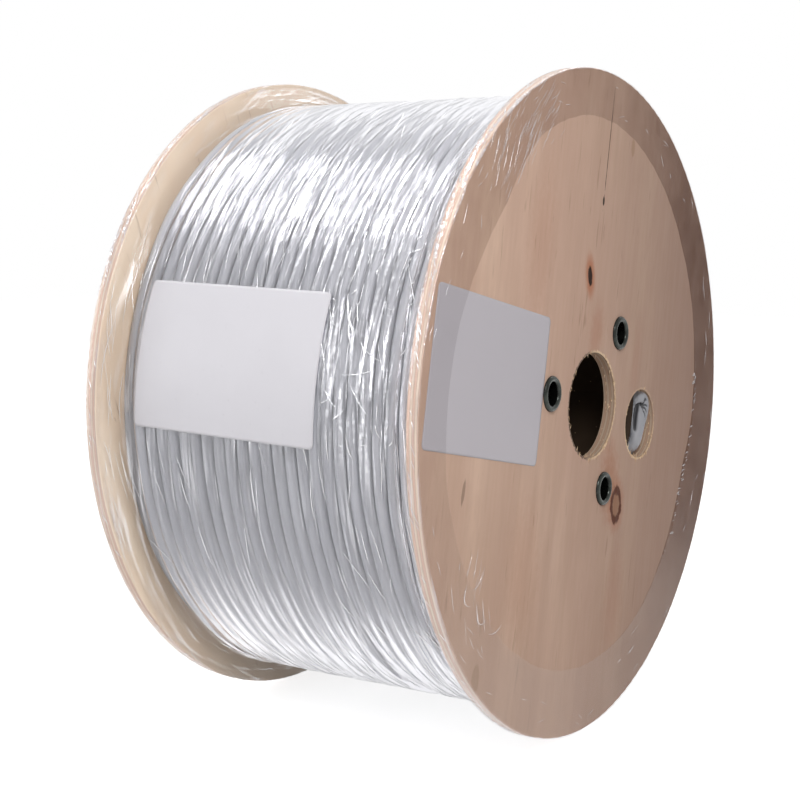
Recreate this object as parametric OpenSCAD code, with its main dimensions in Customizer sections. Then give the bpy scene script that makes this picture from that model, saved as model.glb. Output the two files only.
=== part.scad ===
// Plywood drum of network cable, lying on its rims as it was photographed.
// The drum's axis runs along X, and the origin is on the floor under its middle.

/* [Flanges] */
// Diameter of each round plywood flange
flange_d = 400; // [380:2:560]
// Thickness of the plywood
flange_t = 7.5; // [6:0.5:15]
// Distance between the outer faces of the two flanges
drum_w = 224; // [150:2:360]
// Rounding of a flange's sanded outer edges
edge_r = 0.9; // [0.4:0.1:2]

/* [Holes] */
// Diameter of the arbor hole in the middle of each flange
arbor_d = 64; // [30:1:80]
// Diameter of the hole that the cable's inner end comes out of
lead_out_d = 44; // [36:1:46]
// Angle of that hole about the axis, from +Y towards +Z
lead_out_angle = -15; // [-40:1:5]

/* [Barrel] */
// Outer diameter of the paperboard barrel
barrel_d = 146; // [140:2:200]
// Wall of the barrel
barrel_wall = 8; // [5:0.5:10]
// Depth of the groove in each flange that the barrel sits in
groove_depth = 2; // [1:0.5:3]

/* [Tie tubes] */
// Outer diameter of each steel tie tube
tie_d = 16; // [12:0.5:18]
// Wall of a tie tube
tie_wall = 1.2; // [0.8:0.1:2]
// How far the rolled lip stands out past the tube's side
tie_lip = 2.5; // [1.5:0.1:4]
// Angle of the first tie tube about the axis
tie_angle = 47.5; // [30:0.5:70]

/* [Cable] */
// Outer diameter of the cable
cable_d = 7.5; // [6:0.1:9]
// Gap between neighbouring turns
turn_gap = 0.7; // [0.2:0.1:2]
// Number of layers on the barrel
layers = 15; // [6:1:15]
// Turns that the top layer stops short of the far flange
turns_short = 1; // [1:1:4]
// Distance round the coil from the lead-out hole's middle up to where the loose end rises
tail_up = 15; // [11:0.2:15.6]
// Distance round the coil from the hole's middle down to where the loose end goes back in
tail_down = 16.9; // [10.5:0.2:17.5]
// Bend radius on the inside of the loose end's two kinks
tail_bend = 0.45; // [0.2:0.05:2.4]

/* [Stretch film] */
// Thickness of the wound film, all its layers together
film_t = 0.4; // [0.2:0.1:1]
// How far the film laps over each flange's outer face
film_lap = 38; // [10:1:60]
// Distance over which the film comes down from a rim to the cable
film_span = 16; // [8:1:17]

/* [Labels] */
// Long side of each paper label
label_l = 126; // [60:1:128]
// Short side of each paper label
label_w = 85; // [40:1:100]
// Thickness of the label's paper
label_t = 0.2; // [0.1:0.05:0.4]
// Distance of the flange label's middle from the axis
label_out = 129.8; // [129:0.1:134]
// Angle of the flange label's middle about the axis
label_angle = 168.1; // [150:0.1:200]
// Turn of the flange label in its plane
label_turn = -11.5; // [-30:0.5:30]
// Angle of the cable label's middle about the axis
cable_label_angle = 169.3; // [150:0.1:200]
// Place of the cable label's middle along the axis
cable_label_x = -23.5; // [-30:0.5:30]

/* [Hidden] */
$fn = 96;

seat_gap = 0.1;        // between pieces that lie against each other
barrel_fit = 0.2;      // round the barrel's wall in its groove
tie_fit = 0.2;         // round a tie tube in its hole
tie_clear = 1;         // between a tie tube and the barrel's inside
cut = 1;               // how far a cutting tool runs past a face
core_cover = 0.5;      // how far the winding's core stands past its outer turns' middles
drape_steps = 6;       // straight pieces in the film's curve down to the cable

flange_r = flange_d / 2;
barrel_r = barrel_d / 2;
cable_r = cable_d / 2;
outer_x = drum_w / 2;
inner_x = outer_x - flange_t;
tie_circle_r = barrel_r - barrel_wall - tie_clear - tie_d / 2;
winding_x = inner_x - seat_gap;
winding_r = layer_r(layers - 1) + cable_r;
turn_pitch = cable_d + turn_gap;
top_turns = floor((2 * winding_x - cable_d) / turn_pitch) + 1 - turns_short;
film_rim_r = flange_r + seat_gap;
film_low_r = winding_r + seat_gap;
film_high_r = max(film_rim_r, film_low_r);
film_face_x = outer_x + label_t + seat_gap;
kink_r = cable_r + tail_bend;
axis_z = film_high_r + film_t;

// Radius of the middle of a turn in a layer, the first layer being 0
function layer_r(layer) = barrel_r + seat_gap + cable_r + layer * cable_d;

// Place across the drum's end, at a radius and an angle from +Y towards +Z
function on_end(r, angle) = [r * cos(angle), r * sin(angle)];

// Angle at the axis that a distance round the coil takes up at the radius r
function arc_angle(distance, r) = distance / r * 180 / PI;

// Turns a shape whose axis is Z so that it lies along X at the drum's axis
module lay() {
    translate([0, 0, axis_z]) rotate([90, 0, 90]) children();
}

// A flange's half section, with its outer edges sanded round
module flange_section() {
    square([flange_r - edge_r, flange_t]);
    translate([0, edge_r]) square([flange_r, flange_t - 2 * edge_r]);
    for (y = [edge_r, flange_t - edge_r]) translate([flange_r - edge_r, y]) circle(r = edge_r);
}

// A flange with its inner face at z = 0 and its outer face at z = flange_t
module flange_blank() {
    difference() {
        rotate_extrude($fn = 180) intersection() {
            flange_section();
            square([flange_r + cut, flange_t]);
        }
        translate([0, 0, -cut]) cylinder(d = arbor_d, h = flange_t + 2 * cut);
        for (i = [0:2]) translate(on_end(tie_circle_r, tie_angle + i * 120)) {
            translate([0, 0, -cut]) cylinder(d = tie_d + 2 * tie_fit, h = flange_t + 2 * cut);
        }
        rotate_extrude() translate([barrel_r - barrel_wall - barrel_fit, -cut]) {
            square([barrel_wall + 2 * barrel_fit, groove_depth + cut]);
        }
    }
}

module flange_right() {
    color("burlywood") lay() difference() {
        translate([0, 0, inner_x]) flange_blank();
        translate(on_end(barrel_r, lead_out_angle)) {
            translate([0, 0, inner_x - cut]) cylinder(d = lead_out_d, h = flange_t + 2 * cut);
        }
    }
}

module flange_left() {
    color("burlywood") lay() mirror([0, 0, 1]) translate([0, 0, inner_x]) flange_blank();
}

module barrel() {
    length = 2 * (inner_x + groove_depth - seat_gap);
    color("tan") lay() difference() {
        cylinder(r = barrel_r, h = length, center = true);
        cylinder(r = barrel_r - barrel_wall, h = length + 2 * cut, center = true);
    }
}

// Cut ends of the turns, as they show at the coil's surface and at its two ends
module turn_marks() {
    for (i = [0:top_turns - 1]) {
        translate([layer_r(layers - 1), winding_x - cable_r - i * turn_pitch]) circle(r = cable_r, $fn = 32);
    }
    for (i = [0:turns_short]) {
        translate([layer_r(layers - 2), -winding_x + cable_r + i * turn_pitch]) circle(r = cable_r, $fn = 32);
    }
    for (i = [0:layers - 2], side = [-1, 1]) {
        translate([layer_r(i), side * (winding_x - cable_r)]) circle(r = cable_r, $fn = 32);
    }
}

// The whole coil as one turned solid, with its bore on the barrel
module winding() {
    bore_r = barrel_r + seat_gap;
    half = winding_x - cable_r + core_cover;
    top_left = winding_x - cable_r - (top_turns - 1) * turn_pitch;
    color("lightgray") lay() rotate_extrude($fn = 180) {
        turn_marks();
        translate([bore_r, -half]) square([layer_r(layers - 2) + core_cover - bore_r, 2 * half]);
        translate([bore_r, top_left]) square([layer_r(layers - 1) + core_cover - bore_r, half - top_left]);
    }
}

// The cable's inner end: it rises from the coil into the lead-out hole and bends back in
module cable_end() {
    start = on_end(layer_r(1), lead_out_angle + arc_angle(tail_up, layer_r(1)));
    finish = on_end(layer_r(0), lead_out_angle - arc_angle(tail_down, layer_r(0)));
    run = finish - start;
    length = norm(run);
    color("gray") lay() translate([start[0], start[1], inner_x]) rotate(atan2(run[1], run[0])) {
        translate([kink_r, 0, 0]) rotate([90, 0, 0]) rotate(90) rotate_extrude(angle = 90) {
            translate([kink_r, 0]) circle(r = cable_r);
        }
        translate([kink_r, 0, kink_r]) rotate([0, 90, 0]) cylinder(r = cable_r, h = length - 2 * kink_r);
        translate([length - kink_r, 0, 0]) rotate([90, 0, 0]) rotate_extrude(angle = 90) {
            translate([kink_r, 0]) circle(r = cable_r);
        }
    }
}

// One steel tube that holds the flanges together, its ends rolled over them
module tie_tube(index) {
    bore_r = tie_d / 2 - tie_wall;
    curl_r = (tie_wall + tie_lip) / 2;
    end_x = outer_x + seat_gap / 2;
    color("silver") lay() translate(on_end(tie_circle_r, tie_angle + index * 120)) rotate_extrude() {
        translate([bore_r, -end_x]) square([tie_wall, 2 * end_x]);
        for (side = [0, 1]) mirror([0, side]) translate([bore_r + curl_r, end_x]) intersection() {
            circle(r = curl_r, $fn = 48);
            translate([-curl_r, 0]) square(2 * curl_r);
        }
    }
}

module tie_tube_1() { tie_tube(0); }
module tie_tube_2() { tie_tube(1); }
module tie_tube_3() { tie_tube(2); }

// Half of the film's path as [radius, x], from the face of the right flange to the coil.
// It laps the face, turns over the rim, and comes down to the cable in a hollow curve.
// On a coil that stands above the rims it runs straight up to the coil and over it.
function film_half(out) = concat(
    [[flange_r - film_lap, film_face_x + out]],
    [[film_rim_r - edge_r + out / 2, film_face_x + out]],
    [[film_rim_r + out, film_face_x - edge_r + out / 2]],
    [for (i = [0:drape_steps]) let (s = i / drape_steps) [
        film_low_r + (film_high_r - film_low_r) * (1 - s) * (1 - s) + out,
        inner_x - s * film_span
    ]]
);

function mirrored(points) = [for (i = [len(points) - 1:-1:0]) [points[i][0], -points[i][1]]];

function film_line(out) = concat(film_half(out), mirrored(film_half(out)));

function reversed(points) = [for (i = [len(points) - 1:-1:0]) points[i]];

module stretch_film() {
    color("white", 0.3) lay() rotate_extrude($fn = 180) {
        polygon(concat(film_line(film_t), reversed(film_line(0))));
    }
}

// Bare paper label on the right flange, under the edge of the film
module label_flange() {
    color("white") lay() translate(on_end(label_out, label_angle)) rotate(label_turn) {
        translate([-label_l / 2, -label_w / 2, outer_x]) cube([label_l, label_w, label_t]);
    }
}

// Bare paper label round the coil, on top of the film
module label_cable() {
    inside_r = film_low_r + film_t + seat_gap / 2;
    sweep = arc_angle(label_w, inside_r);
    color("white") lay() rotate(cable_label_angle - sweep / 2) rotate_extrude(angle = sweep) {
        translate([inside_r, cable_label_x - label_l / 2]) square([label_t, label_l]);
    }
}

flange_right();
flange_left();
barrel();
winding();
cable_end();
tie_tube_1();
tie_tube_2();
tie_tube_3();
stretch_film();
label_flange();
label_cable();
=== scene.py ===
import math

import bmesh
import bpy
import numpy as np
from mathutils import Matrix, Vector


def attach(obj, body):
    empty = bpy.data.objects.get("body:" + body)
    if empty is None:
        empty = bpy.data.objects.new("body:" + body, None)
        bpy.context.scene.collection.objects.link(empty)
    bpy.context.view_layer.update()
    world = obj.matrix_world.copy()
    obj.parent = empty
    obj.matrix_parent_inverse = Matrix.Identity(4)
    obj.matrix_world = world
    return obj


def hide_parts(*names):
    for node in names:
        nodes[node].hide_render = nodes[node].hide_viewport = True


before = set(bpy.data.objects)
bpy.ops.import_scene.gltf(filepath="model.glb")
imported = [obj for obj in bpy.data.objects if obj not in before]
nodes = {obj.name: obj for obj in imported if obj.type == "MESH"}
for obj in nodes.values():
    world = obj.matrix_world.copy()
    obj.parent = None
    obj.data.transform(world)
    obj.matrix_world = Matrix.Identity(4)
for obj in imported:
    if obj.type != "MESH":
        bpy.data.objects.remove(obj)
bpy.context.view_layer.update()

mm = 0.001

# The drum's axis runs along X. Angles go round it from +Y towards +Z, in degrees.
drum = {
    "axisHeight": 200.5 * mm,
    "outerX": 112 * mm,
    "innerX": 104.5 * mm,
    "barrelRadius": 73 * mm,
    "leadOutAngle": -15,
}


def onDrum(x, radius, angle):
    turn = math.radians(angle)
    return Vector((x, radius * math.cos(turn), drum["axisHeight"] + radius * math.sin(turn)))


def leadOutMiddle():
    # middle of the lead-out hole, from the axis
    return onDrum(0, drum["barrelRadius"], drum["leadOutAngle"]) - Vector((0, 0, drum["axisHeight"]))


def smoothStep(low, high, value):
    share = np.clip((value - low) / (high - low), 0, 1)
    return share * share * (3 - 2 * share)


# random values on a grid that closes after wrapU and wrapV cells, blended smoothly between
def gridNoise(u, v, wrapU, wrapV, seed):
    table = np.random.default_rng(seed).uniform(-1, 1, (wrapU, wrapV))
    u, v = np.broadcast_arrays(np.asarray(u, float), np.asarray(v, float))
    i, j = np.floor(u).astype(int), np.floor(v).astype(int)
    a, b = u - i, v - j
    a, b = a * a * (3 - 2 * a), b * b * (3 - 2 * b)
    i0, i1, j0, j1 = i % wrapU, (i + 1) % wrapU, j % wrapV, (j + 1) % wrapV
    low = table[i0, j0] * (1 - a) + table[i1, j0] * a
    high = table[i0, j1] * (1 - a) + table[i1, j1] * a
    return low * (1 - b) + high * b


# node and mesh helpers

class Bench:
    # puts nodes into one tree and joins them as they come
    def __init__(self, tree):
        self.tree = tree
        self.count = 0

    def add(self, kind, inputs=None, **settings):
        node = self.tree.nodes.new(kind)
        node.location = (190 * (self.count % 14), -230 * (self.count // 14))
        self.count += 1
        for key, value in settings.items():
            setattr(node, key, value)
        for key, value in (inputs or {}).items():
            self.put(node.inputs[key], value)
        return node

    def put(self, socket, value):
        if isinstance(value, bpy.types.NodeSocket):
            self.tree.links.new(value, socket)
        else:
            socket.default_value = value

    def math(self, operation, a, b=None, clamp=False):
        inputs = {0: a} if b is None else {0: a, 1: b}
        kind = "ShaderNodeMath"
        return self.add(kind, inputs, operation=operation, use_clamp=clamp).outputs[0]

    def plus(self, a, b):
        return self.math("ADD", a, b)

    def minus(self, a, b):
        return self.math("SUBTRACT", a, b)

    def times(self, a, b):
        return self.math("MULTIPLY", a, b)

    def over(self, a, b):
        return self.math("DIVIDE", a, b)

    def size(self, a):
        return self.math("ABSOLUTE", a)

    def vector(self, operation, a, b=None, result=0):
        inputs = {0: a} if b is None else {0: a, 1: b}
        return self.add("ShaderNodeVectorMath", inputs, operation=operation).outputs[result]

    def blend(self, share, a, b, mode="MIX"):
        inputs = {0: share, 6: a, 7: b}
        return self.add("ShaderNodeMix", inputs, data_type="RGBA", blend_type=mode).outputs[2]

    def blendValue(self, share, a, b):
        return self.add("ShaderNodeMix", {0: share, 2: a, 3: b}, data_type="FLOAT").outputs[0]

    def span(self, value, low, high, toLow=0.0, toHigh=1.0):
        inputs = {"Value": value, "From Min": low, "From Max": high, "To Min": toLow, "To Max": toHigh}
        kind = "ShaderNodeMapRange"
        return self.add(kind, inputs, interpolation_type="SMOOTHSTEP").outputs[0]

    def noise(self, place, scale, detail=2.0, roughness=0.5, distortion=0.0):
        inputs = {
            "Vector": place, "Scale": scale, "Detail": detail,
            "Roughness": roughness, "Distortion": distortion,
        }
        return self.add("ShaderNodeTexNoise", inputs).outputs["Fac"]

    def stretch(self, place, scale, turn=(0, 0, 0), shift=(0, 0, 0)):
        inputs = {"Vector": place, "Scale": scale, "Rotation": turn, "Location": shift}
        return self.add("ShaderNodeMapping", inputs).outputs[0]

    def parts(self, place):
        return self.add("ShaderNodeSeparateXYZ", {0: place}).outputs

    def fromAxis(self, place):
        # distance from the X axis through place's origin
        return self.vector("LENGTH", self.stretch(place, (0, 1, 1)), result=1)

    def lay(self, tone, colour, mask, share=1.0, mode="MIX"):
        # lays a colour over a tone where the mask is
        return self.blend(self.times(mask, share), tone, colour, mode)

    def attribute(self, name):
        return self.add("ShaderNodeAttribute", attribute_name=name).outputs["Fac"]

    def group(self, tree, inputs):
        return self.add("ShaderNodeGroup", inputs, node_tree=tree).outputs

    def dress(self, shader, bump=None, **values):
        # sets or joins the shader's sockets; bump is a strength, a depth in mm and a height
        for key, value in values.items():
            self.put(shader.inputs[key.replace("_", " ")], value)
        if bump:
            inputs = {"Strength": bump[0], "Distance": bump[1] * mm, "Height": bump[2]}
            self.put(shader.inputs["Normal"], self.add("ShaderNodeBump", inputs).outputs[0])


def newGroup(name, inputs, outputs, kind="ShaderNodeTree"):
    # a tree, its bench and its input sockets: each input is a name, a kind and, if any, a value
    tree = bpy.data.node_groups.new(name, kind)
    for label, socketKind, *value in inputs:
        socket = tree.interface.new_socket(label, in_out="INPUT", socket_type="NodeSocket" + socketKind)
        if value:
            socket.default_value = value[0]
    outKind = "NodeSocketFloat" if kind == "ShaderNodeTree" else "NodeSocketGeometry"
    for label in outputs:
        tree.interface.new_socket(label, in_out="OUTPUT", socket_type=outKind)
    bench = Bench(tree)
    return tree, bench, bench.add("NodeGroupInput").outputs


def closeGroup(bench, **results):
    bench.add("NodeGroupOutput", results)


def closeGeometry(bench, given, geometry):
    real = bench.add("GeometryNodeRealizeInstances", {0: geometry})
    done = bench.add("GeometryNodeSetMaterial", {0: real.outputs[0], "Material": given["Material"]})
    closeGroup(bench, Geometry=done.outputs[0])


def newMaterial(name):
    material = bpy.data.materials.new(name)
    material.use_nodes = True
    tree = material.node_tree
    tree.nodes.clear()
    bench = Bench(tree)
    out = bench.add("ShaderNodeOutputMaterial")
    shader = bench.add("ShaderNodeBsdfPrincipled")
    tree.links.new(shader.outputs[0], out.inputs[0])
    return material, bench, shader


def newObject(name, data):
    thing = bpy.data.objects.new(name, data)
    bpy.context.scene.collection.objects.link(thing)
    return thing


def newPiece(name, points, faces, material, slot):
    mesh = bpy.data.meshes.new(name)
    mesh.from_pydata([tuple(p) for p in points], [], faces)
    mesh.validate()
    mesh.polygons.foreach_set("use_smooth", [True] * len(mesh.polygons))
    mesh.materials.append(material)
    piece = newObject(name, mesh)
    piece["finish"] = slot
    return piece


def giveValues(piece, name, values):
    # a value at each point of the mesh, for its material to read
    values = [float(value) for value in values]
    piece.data.attributes.new(name, "FLOAT", "POINT").data.foreach_set("value", values)


def outward(piece):
    # turns every face outwards
    work = bmesh.new()
    work.from_mesh(piece.data)
    bmesh.ops.recalc_face_normals(work, faces=work.faces)
    work.to_mesh(piece.data)
    work.free()


# faces of a grid of points, rows x columns, closed round its columns where asked
def gridFaces(rows, columns, closed=False, flip=False):
    i = np.arange(rows - 1)[:, None]
    j = np.arange(columns if closed else columns - 1)[None, :]
    k = (j + 1) % columns
    quads = np.stack(np.broadcast_arrays(
        i * columns + j, i * columns + k, (i + 1) * columns + k, (i + 1) * columns + j), -1)
    quads = quads.reshape(-1, 4)
    return (quads[:, ::-1] if flip else quads).tolist()


def settle(piece, *replaced):
    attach(piece, "root")
    if replaced:
        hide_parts(*replaced)
    return piece


def setMaterial(node, material):
    nodes[node].data.materials.clear()
    nodes[node].data.materials.append(material)


# camera, lamps and floor

view = {
    "azimuth": 32.468,
    "elevation": 6.64,
    "place": (0.51204, -0.84528, 0.31177),
    "lens": 69.63,
}


def placeCamera():
    side, lift = math.radians(view["azimuth"]), math.radians(view["elevation"])
    back = Vector((math.sin(side) * math.cos(lift), -math.cos(side) * math.cos(lift), math.sin(lift)))
    right = Vector((math.cos(side), math.sin(side), 0))
    up = back.cross(right)
    camera = newObject("camera", bpy.data.cameras.new("camera"))
    turn = Matrix((right, up, back)).transposed().to_4x4()
    camera.matrix_world = Matrix.Translation(view["place"]) @ turn
    camera.data.lens = view["lens"]
    camera.data.sensor_width = 36
    camera.data.clip_start = 0.01
    bpy.context.scene.camera = camera


lampValues = {
    # name: place, point it faces, width, height, brightness of its face
    "overheadSoftbox": ((-1.04, -0.27, 1.84), (-0.02, -0.12, 0.28), 1.1, 0.42, 5.2),
    "overheadSpill": ((-1.06, -0.66, 1.74), (-0.02, -0.12, 0.28), 1.1, 0.30, 2.2),
    "backSoftbox": ((0.1, 1.30, 1.60), (0, 0.05, 0.30), 1.2, 0.7, 1.9),
    "frontStrip": ((-1.15, -1.75, 0.62), (0, -0.1, 0.22), 0.8, 0.5, 1.8),
    "sideSoftbox": ((-1.60, -0.85, 0.55), (-0.03, -0.10, 0.18), 0.8, 1.0, 3.6),
    "faceSoftbox": ((0.60, -0.66, 0.84), (0.11, -0.10, 0.31), 0.40, 0.40, 11.0),
}


def placeLamps():
    for name, (place, target, width, height, glow) in lampValues.items():
        data = bpy.data.lights.new(name, "AREA")
        data.shape = "RECTANGLE"
        data.size, data.size_y = width, height
        data.energy = glow * math.pi * width * height
        lamp = newObject(name, data)
        aim = (Vector(target) - Vector(place)).to_track_quat("-Z", "Y")
        lamp.matrix_world = Matrix.Translation(place) @ aim.to_matrix().to_4x4()
        lamp.visible_camera = False


surroundings = {"fill": 0.27, "floorColour": (0.80, 0.80, 0.80, 1), "floorGlow": 0.80, "floorReach": 4.0}


def seenPlain(bench):
    # 1 where the camera, a mirror or clear glass looks straight at it
    path = bench.add("ShaderNodeLightPath").outputs
    seen = bench.math("MAXIMUM", path["Is Camera Ray"], path["Is Glossy Ray"])
    return bench.math("MAXIMUM", seen, path["Is Transmission Ray"])


def makeWorld():
    world = bpy.data.worlds.new("studio")
    bpy.context.scene.world = world
    world.use_nodes = True
    world.node_tree.nodes.clear()
    bench = Bench(world.node_tree)
    glow = bench.span(seenPlain(bench), 0, 1, surroundings["fill"], 1.0)
    sky = bench.add("ShaderNodeBackground", {"Color": (1, 1, 1, 1), "Strength": glow})
    bench.add("ShaderNodeOutputWorld", {"Surface": sky.outputs[0]})


def makeFloor():
    material, bench, shader = newMaterial("paleFloor")
    glow = bench.times(seenPlain(bench), surroundings["floorGlow"])
    bench.dress(shader, Base_Color=surroundings["floorColour"], Roughness=0.9, Specular_IOR_Level=0.0,
                Emission_Color=(1, 1, 1, 1), Emission_Strength=glow)
    reach = surroundings["floorReach"]
    corners = [(-reach, -reach, 0), (reach, -reach, 0), (reach, reach, 0), (-reach, reach, 0)]
    floor = newPiece("floor", corners, [(0, 1, 2, 3)], material, "")


placeCamera()
placeLamps()
makeWorld()
makeFloor()
print("camera, lamps and floor are placed")


# shared shader groups

def makeFibreGroup():
    # long fibres that run along local Z, with soft bands of tone and short dark pores
    tree, b, given = newGroup("woodFibre", [
        ("Place", "Vector"), ("Band Scale", "Float", 26.0), ("Fibre Scale", "Float", 420.0),
        ("Pore Share", "Float", 0.5),
    ], ["Bands", "Fibres", "Pores", "Height"])
    long = b.stretch(given["Place"], (1, 1, 0.12))
    longer = b.stretch(given["Place"], (1, 1, 0.07), shift=(0.3, 0.7, 0.1))
    bands = b.noise(long, given["Band Scale"], 2, 0.55, 0.6)
    fibres = b.noise(longer, given["Fibre Scale"], 2, 0.65)
    poreNoise = b.noise(b.stretch(given["Place"], (1, 1, 0.07), shift=(2, 1, 4)), 330.0, 2, 0.6)
    pores = b.times(b.span(poreNoise, 0.64, 0.76), given["Pore Share"])
    height = b.minus(b.times(fibres, 0.6), b.times(pores, 0.8))
    closeGroup(b, Bands=b.span(bands, 0.3, 0.7), Fibres=b.span(fibres, 0.3, 0.7), Pores=pores, Height=height)
    return tree


def makeSpotGroup():
    # an oval spot at a place on the YZ face, as a mask and as the rings inside it
    tree, b, given = newGroup("ovalSpot", [
        ("Place", "Vector"), ("Centre", "Vector"), ("Across", "Float", 4.0), ("Along", "Float", 8.0),
        ("Tilt", "Float", 0.0), ("Rough", "Float", 0.5), ("Ragged", "Float", 0.25),
    ], ["Mask", "Distance"])
    away = b.vector("SUBTRACT", given["Place"], given["Centre"])
    turn = b.add("ShaderNodeVectorRotate", {
        "Vector": away, "Angle": given["Tilt"], "Axis": (1, 0, 0)}, rotation_type="AXIS_ANGLE")
    parts = b.parts(turn.outputs[0])
    y = b.over(b.times(parts["Y"], 1000.0), given["Across"])
    z = b.over(b.times(parts["Z"], 1000.0), given["Along"])
    flat = b.math("SQRT", b.plus(b.times(y, y), b.times(z, z)))
    uneven = b.times(b.minus(given["Rough"], 0.5), given["Ragged"])
    distance = b.plus(flat, b.times(uneven, 2.0))
    closeGroup(b, Mask=b.span(distance, 1.15, 0.85), Distance=distance)
    return tree


def makeSpeckGroup():
    # sparse small specks and soft blotches, for dust and handling marks
    tree, b, given = newGroup("specksAndBlotches", [
        ("Place", "Vector"), ("Speck Scale", "Float", 300.0), ("Speck Share", "Float", 0.5),
        ("Blotch Scale", "Float", 12.0),
    ], ["Specks", "Blotches"])
    cells = b.add("ShaderNodeTexVoronoi", {"Vector": given["Place"], "Scale": given["Speck Scale"]})
    near = b.span(cells.outputs["Distance"], 0.22, 0.1)
    colour = b.add("ShaderNodeSeparateColor", {0: cells.outputs["Color"]}).outputs
    few = b.span(colour["Red"], 0.9, 0.92)
    specks = b.times(b.times(near, few), given["Speck Share"])
    blotches = b.span(b.noise(given["Place"], given["Blotch Scale"], 3, 0.55), 0.35, 0.68)
    closeGroup(b, Specks=specks, Blotches=blotches)
    return tree


def makeStreakGroup():
    # wound film: streaks that run round the drum, and hazy patches between them
    tree, b, given = newGroup("filmStreaks", [
        ("Place", "Vector"), ("Streak Scale", "Float", 330.0), ("Run", "Float", 0.03),
    ], ["Streaks", "Fine", "Haze", "Height"])
    parts = b.parts(given["Place"])
    y, z = b.times(parts["Y"], given["Run"]), b.times(parts["Z"], given["Run"])

    def leaning(byHeight, byDepth):
        # streaks that lean one way: up the front and over the top
        shift = b.plus(b.times(parts["Z"], byHeight), b.times(parts["Y"], byDepth))
        x = b.plus(parts["X"], shift)
        return b.add("ShaderNodeCombineXYZ", {0: x, 1: y, 2: z}).outputs[0]

    place = leaning(0.05, 0.16)
    other = leaning(-0.07, -0.05)
    fineOne = b.noise(place, given["Streak Scale"], 3, 0.62)
    fineTwo = b.noise(other, given["Streak Scale"], 2, 0.62)
    fine = b.times(b.plus(fineOne, fineTwo), 0.5)
    broad = b.noise(place, b.times(given["Streak Scale"], 0.3), 1, 0.5)
    zone = b.noise(given["Place"], 17.0, 1, 0.5)
    streaks = b.times(b.span(fine, 0.52, 0.64), b.span(zone, 0.35, 0.62))
    haze = b.span(b.noise(b.vector("MULTIPLY", place, (1, 3, 3)), 60.0, 1, 0.6), 0.35, 0.75)
    height = b.plus(b.times(fine, 0.5), b.times(broad, 0.9))
    closeGroup(b, Streaks=streaks, Fine=b.span(fine, 0.40, 0.62), Haze=haze, Height=height)
    return tree


# the film's inner edge on the right flange: angle and radius in mm
lapEdge = [
    (-180, 173.0), (-171, 173.4), (-150, 168.0), (-125, 162.0), (-103, 159.4), (-87, 159.2), (-65, 160.8),
    (-55, 160.5), (-36, 156.6), (-21, 154.6), (-9, 160.5), (20, 164.2), (34, 164.5), (60, 168.0),
    (93, 172.6), (115, 172.5), (132, 162.6), (144, 163.9), (160, 170.0), (180, 173.0),
]

lapTurn = 40                # how far the left flange's film edge is turned from the right one's
edgeRange = (150, 200)      # the radii in mm that the shader's ramp of that edge spans

# how much the film's contact darkens what it lies on, from angle -180 to 180 round the drum
contactByAngle = [
    (0.0, 0.26), (0.1, 0.10), (0.22, 0.03), (0.33, 0.25), (0.42, 0.95), (0.6, 0.95),
    (0.72, 0.42), (0.85, 0.42), (0.93, 0.3), (1.0, 0.26),
]


def rampFromTable(ramp, table):
    while len(ramp.elements) < len(table):
        ramp.elements.new(1.0)
    for element, (place, value) in zip(ramp.elements, table):
        element.position = place
        element.color = (value, value, value, 1)


def makeContactGroup():
    # where the film is drawn onto the flange's face, and how strongly it shows there
    tree, b, given = newGroup("filmContact", [
        ("Place", "Vector"), ("Sway", "Float", 1.6 * mm)], ["Mask", "Strength"])
    parts = b.parts(given["Place"])
    angle = b.math("ARCTAN2", parts["Z"], parts["Y"])
    around = b.plus(b.over(angle, 2 * math.pi), 0.5)
    edge = b.add("ShaderNodeValToRGB", {0: around})
    low, reach = edgeRange[0], edgeRange[1] - edgeRange[0]
    rampFromTable(edge.color_ramp, [((a + 180) / 360, (r - low) / reach) for a, r in lapEdge])
    strength = b.add("ShaderNodeValToRGB", {0: around})
    rampFromTable(strength.color_ramp, contactByAngle)
    radius = b.fromAxis(given["Place"])
    sway = b.times(b.minus(b.noise(given["Place"], 90.0, 2), 0.5), given["Sway"])
    limit = b.plus(b.times(edge.outputs[0], reach * mm), low * mm)
    past = b.minus(b.plus(radius, sway), limit)
    onFace = b.span(parts["X"], 111.2 * mm, 111.8 * mm)
    mask = b.times(b.span(past, -0.2 * mm, 0.5 * mm), onFace)
    closeGroup(b, Mask=mask, Strength=b.times(mask, strength.outputs[0]))
    return tree


def drumPlace(b):
    # object coordinates measured from the drum's axis
    coords = b.add("ShaderNodeTexCoord").outputs["Object"]
    return b.vector("SUBTRACT", coords, (0, 0, drum["axisHeight"]))


def specks(b, place, scale, share, blotchScale):
    return b.group(specksAndBlotches, {
        "Place": place, "Speck Scale": scale, "Speck Share": share, "Blotch Scale": blotchScale})


woodFibre = makeFibreGroup()
filmContact = makeContactGroup()
ovalSpot = makeSpotGroup()
specksAndBlotches = makeSpeckGroup()
filmStreaks = makeStreakGroup()
print("shader groups are ready")


# plywood

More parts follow.
